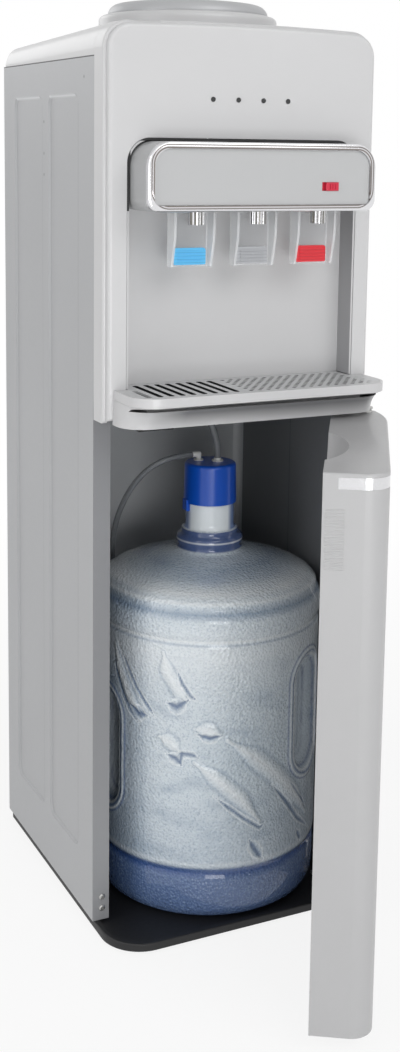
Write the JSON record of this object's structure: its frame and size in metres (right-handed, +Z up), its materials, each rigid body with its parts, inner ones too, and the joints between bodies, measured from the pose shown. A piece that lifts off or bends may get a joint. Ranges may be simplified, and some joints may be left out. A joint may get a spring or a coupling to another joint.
{
  "type": "bottom load water cooler",
  "caption": "Free-standing bottom load water cooler with cold, room and hot taps, a lift-out drip tray and a hinged door on the bottle bay.",
  "frame": {"origin": "floor level, middle of the width, at the plane of the side panels' front edges", "axes": "+X to the right as seen from the front, +Y to the back, +Z up"},
  "size_m": [0.314, 0.6172, 1.001],
  "materials": {
    "black_plastic": "satin moulded",
    "grey_steel": "powder coated",
    "light_shell": "smooth moulded",
    "pale_liner": "smooth moulded",
    "smoked_lens": "polished",
    "silver_face": "silver lacquer",
    "bright_chrome": "polished plate",
    "housing_grey": "smooth moulded",
    "tap_white": "smooth moulded",
    "clear_plastic": "polished clear",
    "blue_pad": "moulded",
    "clear_pad": "moulded",
    "red_pad": "moulded",
    "red_slider": "moulded",
    "pin_steel": "drawn",
    "tank_steel": "pressed",
    "bay_steel": "powder coated",
    "foam": "moulded foam",
    "compressor_black": "black enamel",
    "grommet_rubber": "moulded",
    "condenser_black": "black enamel",
    "pump_white": "moulded",
    "board_green": "lacquered",
    "silicone": "clear silicone",
    "fitting_white": "moulded",
    "bottle_blue": "clear tinted",
    "cap_blue": "moulded",
    "magnet_grey": "moulded",
    "hinge_steel": "zinc plated",
    "bush_white": "acetal",
    "lid_silver": "silver lacquer",
    "switch_red": "moulded",
    "switch_green": "moulded",
    "screw_steel": "zinc plated"
  },
  "bodies": {
    "cabinet": {"base": "black_plastic", "side_panel_left": "grey_steel", "side_panel_right": "grey_steel", "back_panel": "grey_steel", "top_cover": "light_shell", "front_panel": "light_shell", "indicator_lenses": "smoked_lens", "niche_liner": "pale_liner", "tap_housing": "housing_grey", "tap_trim": "bright_chrome", "tap_face_plate": "silver_face", "tap_bodies": "tap_white", "nozzles": "bright_chrome", "lever_pins": "pin_steel", "lever_springs": "pin_steel", "tray_housing": "light_shell", "bay_liner": "bay_steel", "bay_shelf": "bay_steel", "tank_stand": "grey_steel", "cold_tank": "tank_steel", "cold_insulation": "foam", "hot_tank": "tank_steel", "heater_band": "tank_steel", "compressor": "compressor_black", "compressor_mounts": "grommet_rubber", "condenser": "condenser_black", "pump": "pump_white", "control_board": "board_green", "inner_hoses": "silicone", "water_hose": "silicone", "return_hose": "silicone", "hose_fittings": "fitting_white", "bottle": "bottle_blue", "bottle_cap": "cap_blue", "dip_tube": "fitting_white", "magnet_catch": "magnet_grey", "hinge_lower": "hinge_steel", "hinge_upper": "hinge_steel", "lid_collar": "light_shell", "switch_bezel": "black_plastic", "drain_spout": "fitting_white", "cable_gland": "black_plastic", "panel_screws": "screw_steel"},
    "door": {"door_shell": "light_shell", "door_frame": "pale_liner", "door_trim": "bright_chrome", "hinge_bushes": "bush_white"},
    "cold_lever": {"lever_cold": "clear_plastic", "pad_cold": "blue_pad"},
    "room_lever": {"lever_room": "clear_plastic", "pad_room": "clear_pad"},
    "hot_lever": {"lever_hot": "clear_plastic", "pad_hot": "red_pad"},
    "lock_slider": {"child_lock": "red_slider"},
    "tray": {"drip_tray": "light_shell"},
    "grille": {"drip_grille": "silver_face"},
    "top_lid": {"lid": "lid_silver"},
    "heat_switch": {"rocker_heat": "switch_red"},
    "cool_switch": {"rocker_cool": "switch_green"},
    "drain_plug": {"drain_cap": "fitting_white"}
  },
  "joints": [
    {"name": "door_swing", "type": "hinge", "parent": "cabinet", "child": "door", "pos_m": [0.147, -0.042, 0.3], "axis": [0, 0, 1], "range_deg": [-57.7, 52.3]},
    {"name": "cold_lever_push", "type": "hinge", "parent": "cabinet", "child": "cold_lever", "pos_m": [-0.07, -0.05, 0.79], "axis": [1, 0, 0], "range_deg": [0, 12], "stiffness_Nm_per_rad": 0.1, "springref_deg": -11.46},
    {"name": "room_lever_push", "type": "hinge", "parent": "cabinet", "child": "room_lever", "pos_m": [0, -0.05, 0.79], "axis": [1, 0, 0], "range_deg": [0, 12], "stiffness_Nm_per_rad": 0.1, "springref_deg": -11.46},
    {"name": "hot_lever_push", "type": "hinge", "parent": "cabinet", "child": "hot_lever", "pos_m": [0.07, -0.05, 0.79], "axis": [1, 0, 0], "range_deg": [0, 12], "stiffness_Nm_per_rad": 0.1, "springref_deg": -11.46},
    {"name": "child_lock_slide", "type": "slide", "parent": "cabinet", "child": "lock_slider", "axis": [-1, 0, 0], "range_m": [0, 0.004]},
    {"name": "tray_lift", "type": "slide", "parent": "cabinet", "child": "tray", "axis": [0, 0, 1], "range_m": [0, 0.045]},
    {"name": "grille_lift", "type": "slide", "parent": "tray", "child": "grille", "axis": [0, 0, 1], "range_m": [0, 0.03]},
    {"name": "lid_lift", "type": "slide", "parent": "cabinet", "child": "top_lid", "axis": [0, 0, 1], "range_m": [0, 0.04]},
    {"name": "heat_rocker_tilt", "type": "hinge", "parent": "cabinet", "child": "heat_switch", "pos_m": [-0.1058, 0.2878, 0.812], "axis": [1, 0, 0], "range_deg": [0, 16]},
    {"name": "cool_rocker_tilt", "type": "hinge", "parent": "cabinet", "child": "cool_switch", "pos_m": [-0.0842, 0.2878, 0.812], "axis": [1, 0, 0], "range_deg": [0, 16]},
    {"name": "drain_cap_turn", "type": "hinge", "parent": "cabinet", "child": "drain_plug", "pos_m": [0.096, 0.3, 0.15], "axis": [0, 1, 0], "continuous": true}
  ]
}
